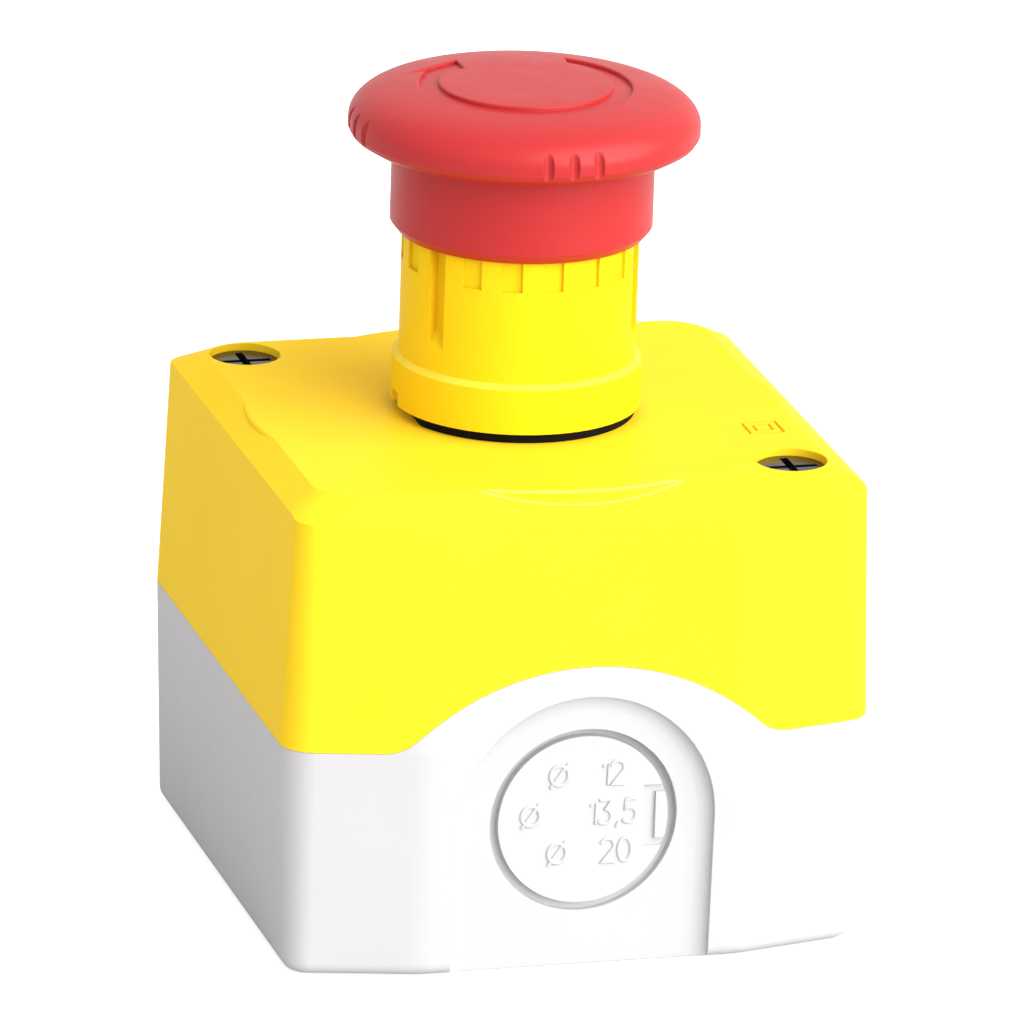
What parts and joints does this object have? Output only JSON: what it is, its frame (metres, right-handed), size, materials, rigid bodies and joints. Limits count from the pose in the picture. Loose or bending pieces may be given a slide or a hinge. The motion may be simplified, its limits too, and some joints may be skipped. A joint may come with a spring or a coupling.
{
  "type": "emergency stop button",
  "caption": "Emergency stop station: red mushroom button, push to stop and turn to release, on a yellow lid and light grey base, with contact blocks inside.",
  "frame": {"origin": "middle of the base's flat back face, where the station sits on a wall or panel", "axes": "+Z out along the button's axis, X across the box, Y through the two cable entries"},
  "size_m": [0.068, 0.07, 0.0936],
  "materials": {
    "lid_plastic": "moulded, satin",
    "base_plastic": "moulded, satin",
    "mushroom_plastic": "moulded, satin",
    "head_plastic": "moulded, satin",
    "seal_rubber": "matt",
    "gasket_rubber": "matt",
    "screw_black": "blackened, satin",
    "inner_plastic": "moulded, matt",
    "carrier_plastic": "glass filled, matt",
    "block_plastic": "glass filled, matt",
    "cover_plastic": "moulded, matt",
    "plunger_plastic": "moulded, satin",
    "spring_steel": "drawn wire",
    "zinc_steel": "zinc plated",
    "contact_brass": "rolled strip",
    "bush_brass": "turned"
  },
  "bodies": {
    "enclosure": {"base_shell": "base_plastic", "lid_shell": "lid_plastic", "lid_gasket": "gasket_rubber", "lid_screws": "screw_black", "head_seal": "seal_rubber", "head_body": "head_plastic", "shaft_bush": "bush_brass", "mounting_base": "carrier_plastic", "clamp_screw": "zinc_steel", "return_spring": "spring_steel", "left_block_housing": "block_plastic", "left_block_cover": "cover_plastic", "left_fixed_contacts": "contact_brass", "left_terminal_clamps": "zinc_steel", "left_terminal_screws": "zinc_steel", "left_contact_spring": "spring_steel", "right_block_housing": "block_plastic", "right_block_cover": "cover_plastic", "right_fixed_contacts": "contact_brass", "right_terminal_clamps": "zinc_steel", "right_terminal_screws": "zinc_steel", "right_contact_spring": "spring_steel"},
    "pusher": {"operating_shaft": "inner_plastic", "shaft_clip": "spring_steel", "actuator_plate": "zinc_steel", "latch_spring": "spring_steel"},
    "mushroom": {"mushroom_cap": "mushroom_plastic", "release_sleeve": "inner_plastic"},
    "latch_left": {"latch_pin_left": "zinc_steel"},
    "latch_right": {"latch_pin_right": "zinc_steel"},
    "left_contact": {"left_plunger": "plunger_plastic", "left_bridge_contact": "contact_brass"},
    "right_contact": {"right_plunger": "plunger_plastic", "right_bridge_contact": "contact_brass"}
  },
  "joints": [
    {"name": "head_push", "type": "slide", "parent": "enclosure", "child": "pusher", "axis": [0, 0, -1], "range_m": [0, 0.0045], "stiffness_N_per_m": 1500, "springref_m": -0.002, "deforming": ["return_spring"]},
    {"name": "head_turn", "type": "hinge", "parent": "pusher", "child": "mushroom", "pos_m": [0, 0, 0.0936], "axis": [0, 0, -1], "range_deg": [0, 45]},
    {"name": "latch_left_out", "type": "slide", "parent": "pusher", "child": "latch_left", "axis": [-1, 0, 0], "range_m": [0, 0.00121], "deforming": ["latch_spring"]},
    {"name": "latch_right_out", "type": "slide", "parent": "pusher", "child": "latch_right", "axis": [1, 0, 0], "range_m": [0, 0.00121]},
    {"name": "left_contact_open", "type": "slide", "parent": "enclosure", "child": "left_contact", "axis": [0, 0, -1], "range_m": [0, 0.0045], "deforming": ["left_contact_spring"]},
    {"name": "right_contact_open", "type": "slide", "parent": "enclosure", "child": "right_contact", "axis": [0, 0, -1], "range_m": [0, 0.0045], "deforming": ["right_contact_spring"]}
  ],
  "couplings": [
    {"joint": "latch_left_out", "follows": "head_push", "ratio": 0.26667},
    {"joint": "latch_right_out", "follows": "head_push", "ratio": 0.26667},
    {"joint": "left_contact_open", "follows": "head_push", "ratio": 1},
    {"joint": "right_contact_open", "follows": "head_push", "ratio": 1}
  ]
}
